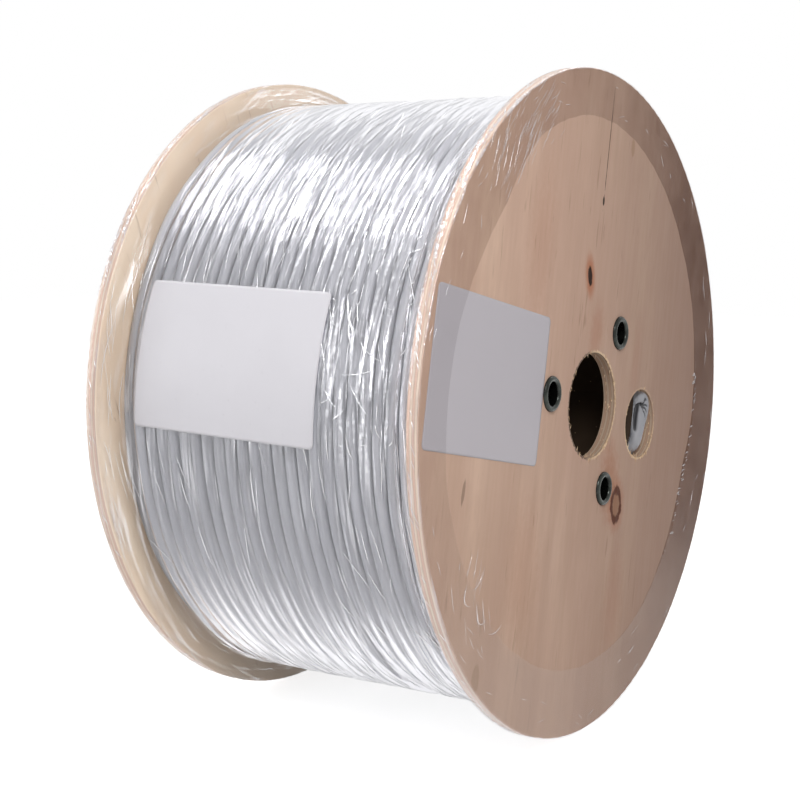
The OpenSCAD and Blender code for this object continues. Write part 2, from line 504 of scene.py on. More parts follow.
plywood = {
    "faceLight": (0.83, 0.60, 0.46, 1),
    "faceDark": (0.57, 0.375, 0.275, 1),
    "facePink": (0.66, 0.435, 0.345, 1),
    "faceFar": (0.42, 0.275, 0.215, 1),     # the right face is browner towards its far side
    "facePale": (1.0, 0.85, 0.68, 1),       # paler, on the left flange's inner face
    "paleShade": (0.96, 0.76, 0.58, 1),
    "rimLight": (0.95, 0.80, 0.67, 1),
    "rimDark": (0.86, 0.62, 0.50, 1),
    "poreColour": (0.30, 0.17, 0.10, 1),
    "holeShade": (0.46, 0.40, 0.33, 1),     # the holes' walls, next to the outer rim
    "wet": (0.32, 0.225, 0.175, 1),         # what the film's contact takes off the wood's colour
    "torn": (0.86, 0.66, 0.44, 1),
    "tornShade": (0.05, 0.03, 0.02, 1),
    "stain": (0.46, 0.20, 0.115, 1),
    "crackColour": (0.06, 0.03, 0.018, 1),
    "plies": 5,
    "thickness": 7.5,
    "right": {"tilt": 11.0, "shift": (0, 0, 0), "blotches": 0.45, "wetShare": 1.0},
    "left": {"tilt": -24.0, "shift": (1.7, 0.9, 0.4), "blotches": 0.09, "wetShare": 0.5},
}

# knots and marks on the right flange's outer face: y and z from the axis, half sizes in mm, tilt,
# how strongly it shows, and for a knot its halo's and its ring's reach, share and colour
faceMarks = [
    {"at": (-5.7, 78.1), "size": (2.9, 6.2), "tilt": -6, "colour": (0.008, 0.004, 0.003, 1), "share": 0.96,
     "halo": (2.9, 0.8, (0.48, 0.17, 0.08, 1)), "hollow": True},
    {"at": (36.0, -66.7), "size": (6.8, 10.2), "tilt": 4, "colour": (0.30, 0.165, 0.10, 1), "share": 0.75,
     "halo": (2.1, 0.55, (0.45, 0.19, 0.115, 1)), "ring": (0.95, 0.95, (0.10, 0.032, 0.018, 1))},
    {"at": (53.4, 155.7), "size": (2.6, 5.4), "tilt": 8, "colour": (0.40, 0.25, 0.15, 1)},
    {"at": (91.7, 169.8), "size": (3.4, 6.0), "tilt": -28, "colour": (0.40, 0.24, 0.17, 1)},
    {"at": (11.6, 122.5), "size": (1.3, 2.8), "tilt": 8, "colour": (0.02, 0.01, 0.006, 1), "share": 0.95},
    {"at": (-155.0, -30.5), "size": (1.5, 7.0), "tilt": 16, "colour": (0.16, 0.10, 0.07, 1)},
    {"at": (-141.2, -133.9), "size": (4.0, 8.0), "tilt": 10, "colour": (0.42, 0.27, 0.17, 1)},
]

# reddish stains in the face veneer: y and z from the axis, half sizes in mm, tilt, strength
faceStains = [
    ((4.0, 44.0), (9.0, 17.0), 14, 0.34),
    ((26.0, -50.0), (13.0, 26.0), -8, 0.55),
    ((62.0, 18.0), (7.0, 26.0), 12, 0.16),
    ((-70.0, 96.0), (16.0, 44.0), 12, 0.20),
    ((-88.0, -86.0), (20.0, 40.0), 9, 0.20),
    ((34.0, -128.0), (13.0, 34.0), 8, 0.20),
]

faceCrack = {"at": (18.8, 157.0), "size": (0.44, 36.0), "tilt": 11.6}


def faceVeneer(b, place, look, pale):
    # the colour and relief of a face's veneer; pale is where it is paler
    tilt = math.radians(look["tilt"])
    lean = b.stretch(b.vector("ADD", place, look["shift"]), (1, 1, 1), turn=(tilt, 0, 0))

    def alongGrain(scale, detail, roughness, share, shift):
        return b.noise(b.stretch(lean, (1, 1, share), shift=shift), scale, detail, roughness)

    face = b.group(woodFibre, {"Place": lean, "Band Scale": 24.0, "Fibre Scale": 360.0, "Pore Share": 0.75})
    wide = specks(b, b.stretch(lean, (1, 1, 0.3)), 190.0, 0.6, 13.0)
    light = b.blend(pale, plywood["faceLight"], plywood["facePale"])
    dark = b.blend(pale, plywood["faceDark"], plywood["paleShade"])
    mottle = b.span(alongGrain(62.0, 3, 0.68, 0.22, (0.4, 0.2, 0.6)), 0.34, 0.66)
    handled = b.span(alongGrain(34.0, 3, 0.72, 0.6, (0.9, 0.1, 0.3)), 0.42, 0.72)
    shortMarks = b.span(alongGrain(210.0, 2, 0.5, 0.16, (5, 2, 1)), 0.67, 0.78)
    tone = b.lay(light, dark, face["Bands"], 0.62)
    pink, pore = plywood["facePink"], plywood["poreColour"]
    layers = [
        (dark, mottle, 0.36), (dark, handled, 0.22), (pink, wide["Blotches"], look["blotches"]),
        (dark, face["Fibres"], 0.13), (pore, face["Pores"], 0.5), (pore, wide["Specks"], 0.8),
        (pore, shortMarks, 0.42),
    ]
    for colour, mask, share in layers:
        tone = b.lay(tone, colour, mask, share)
    return tone, face["Height"], face["Fibres"]


def plyEdge(b, place, x):
    # plies show on the rim and in the holes' walls: every other one is cross grain
    depth = b.times(b.minus(b.size(x), drum["innerX"]), 1 / (plywood["thickness"] * mm))
    waver = b.times(b.minus(b.noise(place, 26.0, 2), 0.5), 0.10)
    even = b.math("PINGPONG", b.times(b.plus(depth, waver), float(plywood["plies"])), 1.0)
    line = b.span(b.size(b.minus(even, 0.5)), 0.09, 0.02)
    short = b.stretch(place, (1, 0.5, 0.5))
    edge = b.group(woodFibre, {"Place": short, "Band Scale": 90.0, "Fibre Scale": 900.0, "Pore Share": 0.9})
    tone = b.blend(b.span(even, 0.42, 0.58), plywood["rimLight"], plywood["rimDark"])
    tone = b.lay(tone, plywood["rimDark"], edge["Bands"], 0.35)
    tone = b.lay(tone, plywood["poreColour"], line, 0.55)
    tone = b.lay(tone, plywood["poreColour"], edge["Pores"], 0.4)
    inHole = b.span(b.fromAxis(place), 150 * mm, 110 * mm)
    return b.lay(tone, plywood["holeShade"], inHole, 0.8, "MULTIPLY"), edge["Height"]


def faceSpot(b, place, rough, at, size, tilt, ragged):
    return b.group(ovalSpot, {
        "Place": place, "Rough": rough, "Centre": (drum["outerX"], at[0] * mm, at[1] * mm),
        "Across": float(size[0]), "Along": float(size[1]), "Tilt": math.radians(tilt), "Ragged": ragged})


def markOuterFace(b, place, tone, height):
    # stains, knots, torn hole edges and the crack of the right flange's outer face
    parts = b.parts(place)
    onOuter = b.span(parts["X"], 111.2 * mm, 111.8 * mm)
    browner = b.span(parts["Y"], -90 * mm, 190 * mm)
    lower = b.span(parts["Z"], 120 * mm, -200 * mm)
    tone = b.lay(tone, plywood["faceFar"], browner, onOuter)
    tone = b.lay(tone, plywood["faceFar"], b.times(lower, 0.28), onOuter)
    rough = b.noise(place, 260.0, 3, 0.6)
    for at, size, tilt, strength in faceStains:
        spot = faceSpot(b, place, rough, at, size, tilt, 0.5)
        tone = b.lay(tone, plywood["stain"], b.span(spot["Distance"], 1.5, 0.2, 0, strength), onOuter)
    for mark in faceMarks:
        spot = faceSpot(b, place, rough, mark["at"], mark["size"], mark["tilt"], 0.3)
        near = b.times(spot["Mask"], onOuter)
        if "halo" in mark:
            reach, share, colour = mark["halo"]
            tone = b.lay(tone, colour, b.times(b.span(spot["Distance"], reach, 0.9), onOuter), share)
        tone = b.lay(tone, mark["colour"], near, mark.get("share", 0.5))
        if "ring" in mark:
            reach, share, colour = mark["ring"]
            ring = b.span(b.size(b.minus(spot["Distance"], reach)), 0.34, 0.14)
            tone = b.lay(tone, colour, b.times(ring, onOuter), share)
        if "hollow" in mark:
            height = b.minus(height, near)

    # torn edges: pale to the right of the arbor hole and low in the lead-out hole, dark to the left
    rag = b.times(b.noise(place, 420.0, 3, 0.7), 4.2 * mm)
    torn = b.span(b.minus(b.fromAxis(place), rag), 31.5 * mm, 30.7 * mm)
    side = b.span(parts["Y"], -12 * mm, 4 * mm)
    tone = b.lay(tone, plywood["torn"], torn, b.times(side, 0.8))
    tone = b.lay(tone, plywood["tornShade"], b.times(torn, b.minus(1.0, side)), 0.75)
    away = b.vector("SUBTRACT", place, tuple(leadOutMiddle()))
    tornHole = b.span(b.minus(b.fromAxis(away), rag), 21.5 * mm, 20.8 * mm)
    lowSide = b.span(b.parts(away)["Z"], 6 * mm, -12 * mm, 0.25, 1.0)
    tone = b.lay(tone, plywood["torn"], tornHole, b.times(lowSide, 0.85))

    crack = faceSpot(b, place, rough, faceCrack["at"], faceCrack["size"], faceCrack["tilt"], 0.9)
    split = b.times(crack["Mask"], onOuter)
    tone = b.lay(tone, plywood["crackColour"], split, 0.9)
    return tone, b.minus(height, split)


def plywoodMaterial(name, side):
    material, b, shader = newMaterial(name)
    look = plywood[side]
    place = drumPlace(b)
    x = b.parts(place)["X"]
    # the left flange's inner side is pale
    pale = b.span(b.size(x), 111.8 * mm, 111.2 * mm, 0.1, 1.0) if side == "left" else 0.0
    tone, height, fibres = faceVeneer(b, place, look, pale)
    edgeTone, edgeHeight = plyEdge(b, place, x)
    if side == "right":
        tone, height = markOuterFace(b, place, tone, height)
        facing = place
    else:
        # the left face has the same film edge, mirrored and turned
        facing = b.stretch(place, (-1, 1, -1), turn=(math.radians(lapTurn), 0, 0))

    # where the film is drawn onto the face the wood looks wet
    wet = b.group(filmContact, {"Place": facing, "Sway": 1.6 * mm})["Strength"]
    patchy = b.span(b.noise(place, 34.0, 3, 0.6), 0.3, 0.7, 0.75, 1.0)
    tone = b.lay(tone, plywood["wet"], b.times(wet, patchy), look["wetShare"], "MULTIPLY")
    normal = b.parts(b.add("ShaderNodeTexCoord").outputs["Normal"])["X"]
    onEdge = b.span(b.size(normal), 0.75, 0.45)
    b.dress(shader, Base_Color=b.blend(onEdge, tone, edgeTone), Roughness=b.span(fibres, 0, 1, 0.55, 0.72),
            Specular_IOR_Level=0.1, bump=(0.5, 0.07, b.blend(onEdge, height, edgeHeight)))
    return material


setMaterial("flange_right", plywoodMaterial("plywoodRight", "right"))
setMaterial("flange_left", plywoodMaterial("plywoodLeft", "left"))
print("plywood is ready")


# paperboard barrel and steel tie tubes

barrelBoard = {
    # painted shade: the board's colours are near black, as dark as the shade inside the arbor hole
    "colour": (0.05, 0.032, 0.02, 1),
    "dark": (0.026, 0.016, 0.01, 1),
    "speck": (0.45, 0.32, 0.2, 1),
    "wrapWidth": 85 * mm,         # width of the wound strip of board
}


def barrelMaterial():
    material, b, shader = newMaterial("paperboard")
    place = drumPlace(b)
    parts = b.parts(place)
    angle = b.over(b.math("ARCTAN2", parts["Z"], parts["Y"]), 2 * math.pi)
    wrap = b.math("FRACT", b.plus(b.over(parts["X"], barrelBoard["wrapWidth"]), angle))
    seam = b.span(b.size(b.minus(wrap, 0.5)), 0.02, 0.006)
    layer = b.math("PINGPONG", b.times(b.fromAxis(place), 1400.0), 1.0)
    marks = specks(b, place, 500.0, 0.6, 22.0)
    # painted shade: the board starts from its near-black colour
    tone = barrelBoard["colour"]
    for mask, share in ((marks["Blotches"], 0.5), (layer, 0.25), (seam, 0.6)):
        tone = b.lay(tone, barrelBoard["dark"], mask, share)
    b.dress(shader, Base_Color=b.blend(marks["Specks"], tone, barrelBoard["speck"]),
            Roughness=b.span(marks["Blotches"], 0, 1, 0.7, 0.86), Specular_IOR_Level=0.1,
            bump=(0.4, 0.1, b.minus(marks["Blotches"], seam)))
    return material


tieSteel = {"colour": (0.03, 0.033, 0.03, 1), "worn": (0.06, 0.068, 0.06, 1), "stain": (0.01, 0.01, 0.009, 1)}


def steelMaterial():
    material, b, shader = newMaterial("tieSteel")
    place = drumPlace(b)
    marks = specks(b, place, 900.0, 0.7, 110.0)
    crown = b.span(b.size(b.parts(place)["X"]), 112.9 * mm, 113.8 * mm)
    tone = b.lay(tieSteel["colour"], tieSteel["worn"], crown, 0.8)
    b.dress(shader, Base_Color=b.lay(tone, tieSteel["stain"], marks["Blotches"], 0.65), Metallic=0.9,
            Roughness=b.span(marks["Blotches"], 0, 1, 0.16, 0.4),
            bump=(0.5, 0.08, b.minus(marks["Blotches"], marks["Specks"])))
    return material


setMaterial("barrel", barrelMaterial())
steel = steelMaterial()
for index in (1, 2, 3):
    setMaterial("tie_tube_%d" % index, steel)
print("barrel and tie tubes are ready")


# cable turns

cable = {
    "radius": 3.75,
    "pitch": 8.2,
    "layerHeight": 7.5,
    "layers": 15,
    "innerRadius": 73.1,          # foot of the lowest layer
    "topRadius": 181.85,          # middle of the top layer's turns
    "lowRadius": 174.35,          # middle of the layer below
    "firstX": 100.65,
    "topTurns": 23.55,
    "lowTurns": 3.4,
    "stepsPerTurn": 150,
    "sides": 10,
    "startAngle": -20,
    "fall": 0.12,                 # share of a turn in which the last one drops to the layer below
    "wander": 0.75,               # how far turns stray along the drum
    "sheath": (0.66, 0.665, 0.71, 1),
    "sheathShade": (0.59, 0.595, 0.64, 1),
    # painted shade: a darker sheath tone for the grooves between the turns
    "grooveShade": (0.36, 0.36, 0.385, 1),
    "speck": (0.3, 0.3, 0.31, 1),
    # painted shade: the kinked end in the lead-out hole is darker all over, and darker still in its creases
    "tailShade": (0.12, 0.12, 0.13, 1),
    "creaseShade": (0.03, 0.03, 0.033, 1),
}


# where a turn's middle lies: distance along the drum and from the axis, in mm
def topTurnPlace(turn):
    angle = (turn % 1.0) * 360 + cable["startAngle"]
    whole = np.floor(turn)
    share = turn - whole
    stepped = whole + smoothStep(0.02, 0.22, share)
    x = cable["firstX"] - cable["pitch"] * (0.35 * turn + 0.65 * stepped)
    around = share * 24
    x = x + cable["wander"] * gridNoise(around, turn * 0.16 + 0.5, 24, 64, 5)
    x = x + 0.28 * gridNoise(around * 1.5, whole * 1.7 + share * 1.7, 36, 64, 6)
    radius = cable["topRadius"] - 0.35 * np.abs(gridNoise(around, whole + share, 24, 64, 7))

    def bell(middle, width):
        return np.exp(-((turn - middle) / width) ** 2)

    # one turn sinks between its neighbours low on the front
    radius = radius - 3.6 * bell(6.755, 0.085)
    x = x - 1.2 * bell(7.75, 0.075) + 0.9 * bell(5.76, 0.07)
    return x, radius, angle


def topPath():
    turns = cable["topTurns"]
    turn = np.linspace(0, turns, int(turns * cable["stepsPerTurn"]))
    x, radius, angle = topTurnPlace(turn)
    fallen = smoothStep(turns - cable["fall"], turns, turn)
    rise = smoothStep(0, 0.1, turn) * (1 - fallen)
    radius = cable["lowRadius"] + (radius - cable["lowRadius"]) * rise
    x = np.clip(x - 4.6 * fallen, -100.6, 100.6)
    return [onDrum(a * mm, r * mm, t) for a, r, t in zip(x, radius, angle)]


def lowPath():
    turn = np.linspace(0, cable["lowTurns"], int(cable["lowTurns"] * cable["stepsPerTurn"]))
    x = -cable["firstX"] + cable["pitch"] * (np.floor(turn) + smoothStep(0.7, 0.95, turn % 1.0))
    x = x + 0.3 * gridNoise((turn % 1.0) * 18, turn, 18, 16, 9)
    return [onDrum(max(a, -100.65) * mm, cable["lowRadius"] * mm, 180 - t * 360) for a, t in zip(x, turn)]


def pathCurves(name, paths):
    # one curve of many paths: each is a list of places and the width at each, as a share
    data = bpy.data.curves.new(name, "CURVE")
    data.dimensions = "3D"
    for places, widths in paths:
        spline = data.splines.new("POLY")
        spline.points.add(len(places) - 1)
        spline.points.foreach_set("co", [c for place in places for c in (*place, 1.0)])
        spline.points.foreach_set("radius", widths)
    return newObject(name, data)


def makeSheathTree():
    # runs a round sheath along a wound path and ends it in flat cut faces
    tree, b, given = newGroup("woundCable", [
        ("Geometry", "Geometry"), ("Cable Radius", "Float", 0.004), ("Sides", "Int", 10),
        ("Unevenness", "Float", 0.00004), ("Seed", "Float", 3.0), ("Material", "Material"),
    ], ["Geometry"], "GeometryNodeTree")
    ring = b.add("GeometryNodeCurvePrimitiveCircle", {
        "Resolution": given["Sides"], "Radius": given["Cable Radius"]})
    tube = b.add("GeometryNodeCurveToMesh", {
        "Curve": given["Geometry"], "Profile Curve": ring.outputs[0], "Fill Caps": True})
    coarse = {"Scale": 55.0, "Detail": 1.0, "W": given["Seed"]}
    lumps = b.add("ShaderNodeTexNoise", coarse, noise_dimensions="4D")
    swell = b.times(b.minus(lumps.outputs["Fac"], 0.5), given["Unevenness"])
    out = b.vector("SCALE", b.add("GeometryNodeInputNormal").outputs[0])
    b.put(out.node.inputs["Scale"], swell)
    moved = b.add("GeometryNodeSetPosition", {"Geometry": tube.outputs[0], "Offset": out})
    smooth = b.add("GeometryNodeSetShadeSmooth", {0: moved.outputs[0]})
    closeGeometry(b, given, smooth.outputs[0])
    return tree


# applies a Geometry Nodes tree to an object and leaves a plain mesh piece
def growPiece(name, source, tree, inputs, slot):
    modifier = source.modifiers.new(name, "NODES")
    modifier.node_group = tree
    for item in tree.interface.items_tree:
        if item.in_out == "INPUT" and item.name in inputs:
            modifier[item.identifier] = inputs[item.name]
    graph = bpy.context.evaluated_depsgraph_get()
    mesh = bpy.data.meshes.new_from_object(source.evaluated_get(graph), depsgraph=graph)
    mesh.name = name
    source.modifiers.remove(modifier)
    bpy.data.objects.remove(source)
    piece = newObject(name, mesh)
    piece["finish"] = slot
    return piece


def sheathMaterial(name, shadedInHole=False):
    material, b, shader = newMaterial(name)
    place = drumPlace(b)
    marks = specks(b, place, 260.0, 0.25, 20.0)
    tone = b.lay(cable["sheath"], cable["sheathShade"], marks["Blotches"], 0.55)
    tone = b.blend(marks["Specks"], tone, cable["speck"])
    radius = b.fromAxis(place)
    # painted shade: the top turns are darkened below their crests, and so is the coil under them
    grooveShadeMask = b.times(b.span(radius, 184.4 * mm, 182.0 * mm), b.span(radius, 150 * mm, 170 * mm))
    tone = b.lay(tone, cable["grooveShade"], grooveShadeMask, 0.6)
    # painted shade: the kinked end in its hole is darkened all over, and more where its creases are pressed
    # in
    if shadedInHole:
        tone = b.blend(0.52, tone, cable["tailShade"])
        tone = b.lay(tone, cable["creaseShade"], b.span(b.attribute("pressed"), 0.25, 1.1), 0.9)
    b.dress(shader, Base_Color=tone, Roughness=b.span(marks["Blotches"], 0, 1, 0.42, 0.55),
            bump=(0.25, 0.04, b.noise(place, 1800.0, 2, 0.6)))
    return material


sheath = sheathMaterial("cableSheath")
sheathTree = makeSheathTree()


def makeTurns(name, points, seed):
    inputs = {
        "Cable Radius": cable["radius"] * mm, "Sides": cable["sides"],
        "Unevenness": 0.12 * mm, "Seed": seed, "Material": sheath,
    }
    path = pathCurves(name + "Path", [(points, [1.0] * len(points))])
    return settle(growPiece(name, path, sheathTree, inputs, "cable_sheath"), "winding")


# the turned mass under the outer turns, its two ends scalloped by the layers
def makeCoilBody():
    foot, top, low, endX = 73.2, 180.2, 173.6, 104.4
    r = cable["radius"]
    rounds = np.radians(np.arange(-75, 76, 30))

    def layerEnds(side, layers):
        # half rounds of the layers' last turns at one end, from the barrel outwards
        middles = cable["innerRadius"] + r + np.arange(layers) * cable["layerHeight"]
        return [(middle + r * math.sin(t), side * (endX - r + r * math.cos(t)))
                for middle in middles for t in rounds]

    # up the right end, over the top and down the left end, which is one layer lower
    outline = [(foot, 100.0)] + layerEnds(1, cable["layers"])
    outline += [(top, 100.0), (top, -86.0), (low, -88.0), (low, -100.0)]
    outline += layerEnds(-1, cable["layers"] - 1)[::-1] + [(foot, -100.0)]
    around = 128
    angles = np.arange(around) * (360 / around)
    points = [onDrum(x * mm, radius * mm, t) for radius, x in outline for t in angles]
    faces = gridFaces(len(outline), around, closed=True)
    last = (len(outline) - 1) * around
    faces += [[last + j, last + (j + 1) % around, (j + 1) % around, j] for j in range(around)]
    piece = newPiece("coilBody", points, faces, sheath, "cable_sheath")
    outward(piece)
    return settle(piece, "winding")


topTurns = makeTurns("cableTurns", topPath(), 3.0)
makeTurns("cableTurnsBelow", lowPath(), 8.0)
makeCoilBody()
print("cable turns are wound:", len(topTurns.data.polygons), "faces")


# stretch film

film = {
    "lift": 0.12,                 # how far the film floats over a crest
    "columns": 400,
    "rows": 210,
    "innerX": 104.5,              # where it leaves the rim for the cable
    "span": 16.0,                 # how far along the drum it hangs free there
    "rim": 200.12,
    "faceX": 112.27,              # where its laps lie on the flanges' outer faces
    "hug": 0.24,                  # how deep it is drawn in between two turns
    "sag": 1.35,                  # deepest dip between two turns
    "fine": 0.26,                 # height of the fine lengthwise wrinkles
    "coarse": 0.50,               # height of the crumples
    "gone": 9,                    # how much lower the coil is where the top layer is missing
}


def turnGrid(angles):
    # middle of every top turn at each angle
    share = ((np.asarray(angles) - cable["startAngle"]) / 360) % 1.0
    turn = np.arange(int(cable["topTurns"]) + 1)[:, None] + share[None, :]
    x, radius, _ = topTurnPlace(turn)
    return x, np.where(turn > cable["topTurns"], radius - film["gone"], radius)


def filmOverCable(angles, x):
    # the film's distance from the axis: over the turns' crests, and a little down between them
    middleX, middleR = turnGrid(angles)
    rc, floor = cable["radius"], 150.0
    high = np.full((len(x), len(angles)), floor)
    crest = np.zeros_like(high)
    weight = np.full_like(high, 1e-6)
    for k in range(len(middleX)):
        away = x[:, None] - middleX[k][None, :]
        dome = middleR[k][None, :] + np.sqrt(np.clip(rc * rc - away * away, 0, None))
        high = np.maximum(high, np.where(np.abs(away) < rc, dome, floor))
        pull = np.exp(-(away / 5.5) ** 2)
        crest += pull * (middleR[k][None, :] + rc)
        weight += pull
    crest /= weight
    sunk = np.maximum(high, crest - film["sag"])
    surface = np.maximum(high, crest * (1 - film["hug"]) + sunk * film["hug"])
    return surface + film["lift"]


def ridge(value, sharp):
    return (1 - np.abs(value)) ** sharp


def filmActivity(angle, x):
    # how crumpled the film is, by place: calm low on the left, rough beside the label
    def spot(a0, x0, wa, wx):
        return np.exp(-((angle - a0) / wa) ** 2 - ((x - x0) / wx) ** 2)

    level = 0.30 + 0.25 * gridNoise(angle / 360 * 10, x / 40 + 3, 10, 16, 21)
    level = level + 1.05 * spot(172, 68, 17, 30) + 0.6 * spot(152, 60, 18, 60) + 0.6 * spot(134, -20, 17, 90)
    level = level + 0.8 * spot(250, 20, 17, 120)
    level = level * (1 - 0.93 * spot(207, -20, 25, 105)) * (1 - 0.6 * spot(98, 0, 20, 140))
    return np.clip(level, 0.04, 1.3)


def filmWrinkles(angle, x):
    # fine streaks that lean a little both ways, and wider crumples
    turn = angle / 360
    plus = ridge(gridNoise(turn * 22, x / 1.75 + turn * 64, 22, 64, 31), 2)
    minus = ridge(gridNoise(turn * 26, x / 1.6 - turn * 64, 26, 64, 32), 2)
    fine = plus * minus + 0.5 * plus
    steep = ridge(gridNoise(turn * 14, x / 3.1 + turn * 64, 14, 64, 35), 3)
    straight = ridge(gridNoise(turn * 9, x / 4.4, 9, 64, 33), 3)
    knots = ridge(gridNoise(turn * 160, x / 5.5 + turn * 32, 160, 64, 34), 3)
    return fine, 0.45 * steep + 0.35 * straight + 0.45 * knots


def filmRelief(angle, x):
    active = filmActivity(angle, x)
    fine, coarse = filmWrinkles(angle, x)
    return film["fine"] * (0.12 + 1.45 * active) * fine + film["coarse"] * active * active * coarse


def filmAngles():
    return np.arange(film["columns"]) * (360 / film["columns"])


def filmSide(angles, side, low):
    # rows from the outer face's edge over one rim and down to the coil's film, whose radius is low
    turn = angles / 360
    sway = np.abs(0.10 * gridNoise(turn * 40, 0.5, 40, 4, 41))
    rim = [(199.2, 112.32), (199.85, 112.2), (200.12, 111.6), (200.14, 108.2), (200.12, 104.6)]
    block = [(side * x, radius + sway) for radius, x in rim]
    for s in np.linspace(0.04, 0.96, 14) ** 1.1:
        x = side * (film["innerX"] - s * film["span"])
        fine, coarse = filmWrinkles(angles, np.full(len(angles), x))
        pleat = gridNoise(turn * 16, x / 2.3 + turn * 32, 16, 32, 36)
        radius = low + (film["rim"] - low) * (1 - s) ** 2
        block.append((x, radius + 4 * s * (1 - s) * (0.3 * coarse + 0.25 * fine + 0.5 * pleat)))
    return block


def makeFilmWrap(material):
    angles = filmAngles()
    reach = film["innerX"] - film["span"] + 1.2
    flat = np.linspace(reach, -reach, film["rows"])
    cover = filmOverCable(angles, flat) + filmRelief(angles[None, :], flat[:, None])
    allRows = filmSide(angles, 1, cover[0]) + list(zip(flat, cover)) + filmSide(angles, -1, cover[-1])[::-1]
    onRim = 0.25 + 0.95 * np.exp(-((angles - 138) / 34) ** 2)
    onRim += 0.3 * gridNoise(angles / 360 * 14, 0.5, 14, 4, 42)
    points, rough = [], []
    for x, radius in allRows:
        points += [onDrum(x * mm, r * mm, t) for r, t in zip(radius, angles)]
        rough += list(onRim if abs(x) > film["innerX"] else filmActivity(angles, np.full(len(angles), x)))
    faces = gridFaces(len(allRows), len(angles), closed=True, flip=True)
    piece = newPiece("filmWrap", points, faces, material, "film")
    giveValues(piece, "crumpled", rough)
    return settle(piece, "stretch_film")


def lapRadius(angles, side):
    # the lap's inner edge, gathered into small teeth on the right
    around = (np.asarray(angles) + 180) % 360 - 180
    where = around if side > 0 else (-around + lapTurn + 180) % 360 - 180
    base = np.interp(where, *zip(*lapEdge))
    gather = 1.4 * gridNoise(np.asarray(angles) / 360 * 90, 0.5, 90, 4, 51)
    teeth = smoothStep(-48, -36, around) * (1 - smoothStep(-8, 2, around))
    scallop = 2.6 * teeth * np.abs(np.sin(np.radians(around * 26)))
    return base + gather * (0.35 + teeth) + scallop


def makeFilmLap(name, side, material):
    angles = filmAngles()
    turn = angles / 360
    inner = lapRadius(angles, side)
    shares = [0, 0.012, 0.04, 0.09, 0.16, 0.25, 0.35, 0.46, 0.57, 0.68, 0.79, 0.89, 1.0]
    points = []
    for share in shares:
        radius = inner + (199.35 - inner) * share
        lift = 0.06 + 0.10 * np.abs(gridNoise(turn * 60, radius / 6, 60, 64, 52))
        curl = 0.22 * (1 - smoothStep(0, 0.05, share)) * np.abs(gridNoise(turn * 120, 0.5, 120, 4, 53))
        x = film["faceX"] + lift + curl
        points += [onDrum(side * a * mm, r * mm, t) for a, r, t in zip(x, radius, angles)]
    faces = gridFaces(len(shares), len(angles), closed=True, flip=side > 0)
    return settle(newPiece(name, points, faces, material, "film"), "stretch_film")


filmLook = {
    # clear: least share of light it turns back; edge: how much more at a glancing view;
    # the other shares: bright streaks, haze, more haze below, where it hangs free, over the rims, scuffs
    "wrap": {
        "clear": 0.12, "edge": 0.85, "streak": 0.30, "haze": 0.06, "low": 0.0, "hanging": 0.24, "onRim": 0.38,
        "patches": 0.5, "colour": (0.93, 0.93, 0.97, 1), "scale": 430.0, "bump": 0.6,
    },
    "lap": {
        "clear": 0.02, "edge": 0.02, "streak": 0.03, "haze": 0.01, "low": 0.06, "hanging": 1.0, "onRim": 1.0,
        "patches": 0.0, "colour": (0.62, 0.58, 0.56, 1), "scale": 110.0, "bump": 0.2,
    },
    "metallic": 0.9,
}


def glancing(b, clear, edge):
    # the share of light turned back, more of it at a flat angle
    glance = b.add("ShaderNodeFresnel", {"IOR": 1.5}).outputs[0]
    return b.plus(b.span(glance, 0.04, 0.25, 0, edge), clear)


def filmMaterial(name, look):
    material, b, shader = newMaterial(name)
    place = drumPlace(b)
    parts = b.parts(place)
    marks = b.group(filmStreaks, {"Place": place, "Streak Scale": look["scale"]})
    alpha = glancing(b, look["clear"], look["edge"])
    # where it hangs free from the rims down to the cable it is thinner and clearer
    along = b.size(parts["X"])
    hanging = b.times(b.span(along, 89 * mm, 93 * mm), b.span(along, 105 * mm, 104 * mm))
    alpha = b.times(alpha, b.span(hanging, 0, 1, 1.0, look["hanging"]))
    # over the rims it is crumpled in all directions and clear
    onRim = b.span(b.fromAxis(place), 197 * mm, 199.8 * mm)
    alpha = b.times(alpha, b.span(onRim, 0, 1, 1.0, look["onRim"]))
    tense = 1.0
    if look["patches"]:
        # where the film is crumpled its fine lines and wrinkles show most
        crumpled = b.attribute("crumpled")
        tense = b.span(crumpled, 0.04, 0.42, 0.42, 1.0)
        lines = b.blendValue(tense, 1.0, b.span(marks["Fine"], 0.15, 0.85, 0.5, 1.4))
        folds = b.span(marks["Fine"], 0.4, 0.85, 0.15, 1.9)
        alpha = b.times(alpha, b.blendValue(hanging, lines, folds))
    alpha = b.plus(alpha, b.span(parts["Z"], -60 * mm, -150 * mm, 0, look["low"]))
    alpha = b.plus(alpha, b.times(marks["Streaks"], look["streak"]))
    alpha = b.math("ADD", alpha, b.times(marks["Haze"], look["haze"]), clamp=True)
    if look["patches"]:
        thin = b.times(b.span(marks["Fine"], 0.35, 0.85), b.span(crumpled, 0.4, 1.15))
        scraped = b.span(b.noise(place, 300.0, 2, 0.75), 0.47, 0.6)
        flecks = b.times(thin, b.span(scraped, 0, 1, 0.3, 1.0))
        alpha = b.math("ADD", alpha, b.times(flecks, look["patches"]), clamp=True)
    crumple = b.times(b.noise(place, 230.0, 2, 0.6), b.times(onRim, 1.6))
    b.dress(shader, Base_Color=look["colour"], Metallic=filmLook["metallic"], Alpha=alpha,
            Roughness=b.span(marks["Fine"], 0, 1, 0.08, 0.26),
            bump=(1.0, look["bump"], b.plus(b.times(marks["Height"], tense), crumple)))
    return material


filmWrap = makeFilmWrap(filmMaterial("stretchFilm", filmLook["wrap"]))
lapFilm = filmMaterial("stretchFilmLap", filmLook["lap"])
makeFilmLap("filmLapRight", 1, lapFilm)
makeFilmLap("filmLapLeft", -1, lapFilm)
print("film is stretched over the cable:", len(filmWrap.data.polygons), "faces")


# sharp creases in the film, swept along short paths

